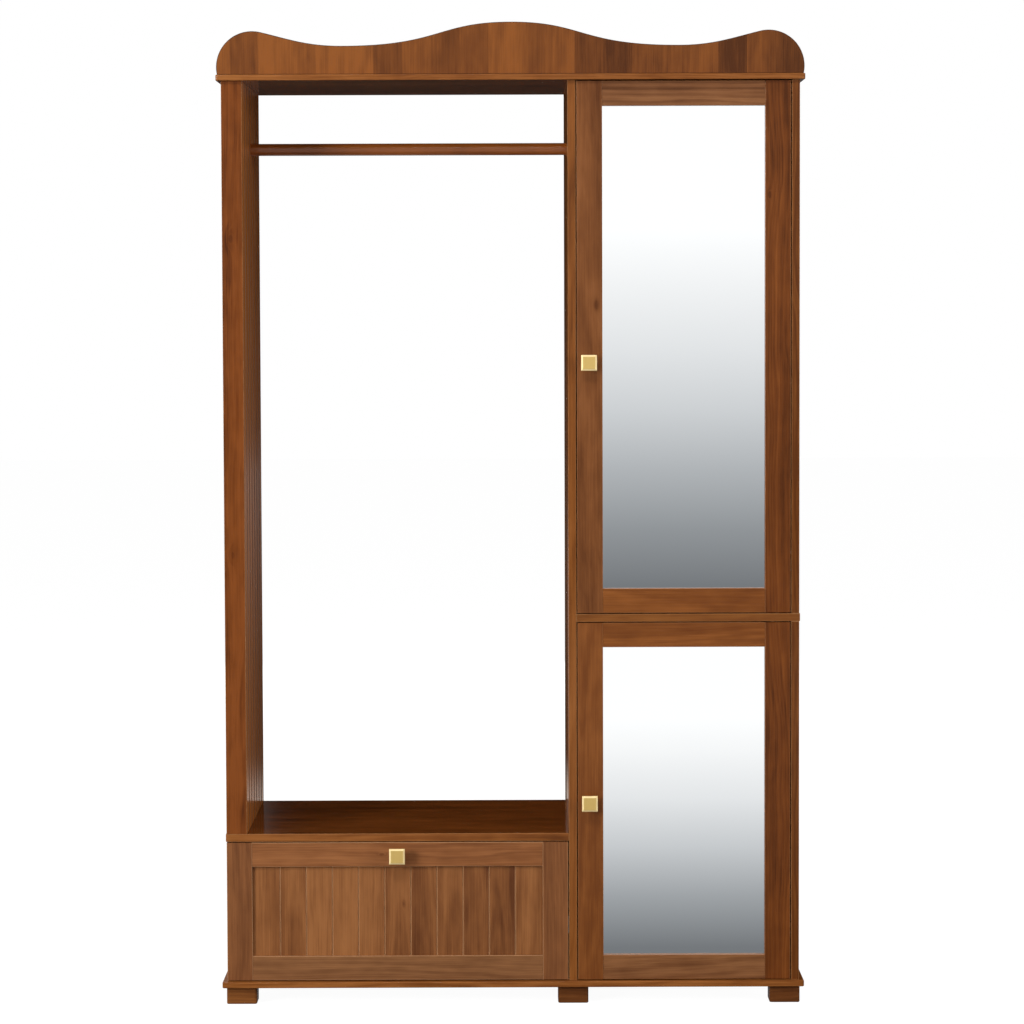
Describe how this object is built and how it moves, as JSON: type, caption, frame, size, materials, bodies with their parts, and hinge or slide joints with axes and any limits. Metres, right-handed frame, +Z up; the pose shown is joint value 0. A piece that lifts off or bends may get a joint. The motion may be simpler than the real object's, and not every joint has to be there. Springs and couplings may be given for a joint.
{
  "type": "open-front wardrobe",
  "caption": "Open-front wardrobe with a hanging bay over a drawer, a mirrored cupboard column and a scalloped crown.",
  "frame": {"origin": "on the floor, in the middle of the overall width and of the overall depth, knobs included", "axes": "+X to the right as seen from the front, +Y from front to back, +Z up"},
  "size_m": [1.19, 0.406, 2.0002],
  "materials": {
    "carcass_walnut": "satin walnut-grain laminate",
    "front_walnut": "satin walnut-grain laminate, slightly pinker",
    "rod_walnut": "glossy dark walnut lacquer",
    "hardboard": "matt walnut-print hardboard",
    "satin_brass": "satin pale brass",
    "mirror_glass": "silvered float glass",
    "plain_steel": "bright nickel-plated steel"
  },
  "bodies": {
    "carcass": {"back_panel_cupboards": "hardboard", "back_panel_drawer_bay": "hardboard", "base_board": "carcass_walnut", "bay_shelf": "carcass_walnut", "crown_board": "front_walnut", "divider_panel": "carcass_walnut", "foot_front_left": "carcass_walnut", "foot_front_middle": "carcass_walnut", "foot_front_right": "carcass_walnut", "foot_rear_left": "carcass_walnut", "foot_rear_middle": "carcass_walnut", "foot_rear_right": "carcass_walnut", "hanging_rod": "rod_walnut", "left_side_lower": "carcass_walnut", "left_wall_front_post": "carcass_walnut", "left_wall_grooved_board": "carcass_walnut", "left_wall_outer_board": "carcass_walnut", "left_wall_rear_post": "carcass_walnut", "lower_cupboard_shelf": "carcass_walnut", "lower_door_hinge_arm_bottom": "plain_steel", "lower_door_hinge_arm_top": "plain_steel", "middle_board": "carcass_walnut", "right_side_lower": "carcass_walnut", "right_side_upper": "carcass_walnut", "runner_channel_left": "plain_steel", "runner_channel_right": "plain_steel", "top_board": "carcass_walnut", "upper_cupboard_shelf": "carcass_walnut", "upper_door_hinge_arm_bottom": "plain_steel", "upper_door_hinge_arm_top": "plain_steel"},
    "upper_door": {"upper_door_backing": "hardboard", "upper_door_hinge_cup_bottom": "plain_steel", "upper_door_hinge_cup_top": "plain_steel", "upper_door_knob": "satin_brass", "upper_door_mirror": "mirror_glass", "upper_door_rail_bottom": "front_walnut", "upper_door_rail_top": "front_walnut", "upper_door_stile_left": "front_walnut", "upper_door_stile_right": "front_walnut"},
    "lower_door": {"lower_door_backing": "hardboard", "lower_door_hinge_cup_bottom": "plain_steel", "lower_door_hinge_cup_top": "plain_steel", "lower_door_knob": "satin_brass", "lower_door_mirror": "mirror_glass", "lower_door_rail_bottom": "front_walnut", "lower_door_rail_top": "front_walnut", "lower_door_stile_left": "front_walnut", "lower_door_stile_right": "front_walnut"},
    "drawer": {"drawer_back": "carcass_walnut", "drawer_bottom": "hardboard", "drawer_front_panel": "front_walnut", "drawer_front_rail_bottom": "front_walnut", "drawer_front_rail_top": "front_walnut", "drawer_front_stile_left": "front_walnut", "drawer_front_stile_right": "front_walnut", "drawer_knob": "satin_brass", "drawer_side_left": "carcass_walnut", "drawer_side_right": "carcass_walnut", "runner_slide_left": "plain_steel", "runner_slide_right": "plain_steel"}
  },
  "joints": [
    {"name": "upper_door_hinge", "type": "hinge", "parent": "carcass", "child": "upper_door", "pos_m": [0.568, -0.177, 1.3415], "axis": [0, 0, 1], "range_deg": [0, 105]},
    {"name": "lower_door_hinge", "type": "hinge", "parent": "carcass", "child": "lower_door", "pos_m": [0.568, -0.177, 0.4155], "axis": [0, 0, 1], "range_deg": [0, 105]},
    {"name": "drawer_slide", "type": "slide", "parent": "carcass", "child": "drawer", "axis": [0, -1, 0], "range_m": [0, 0.26]}
  ]
}
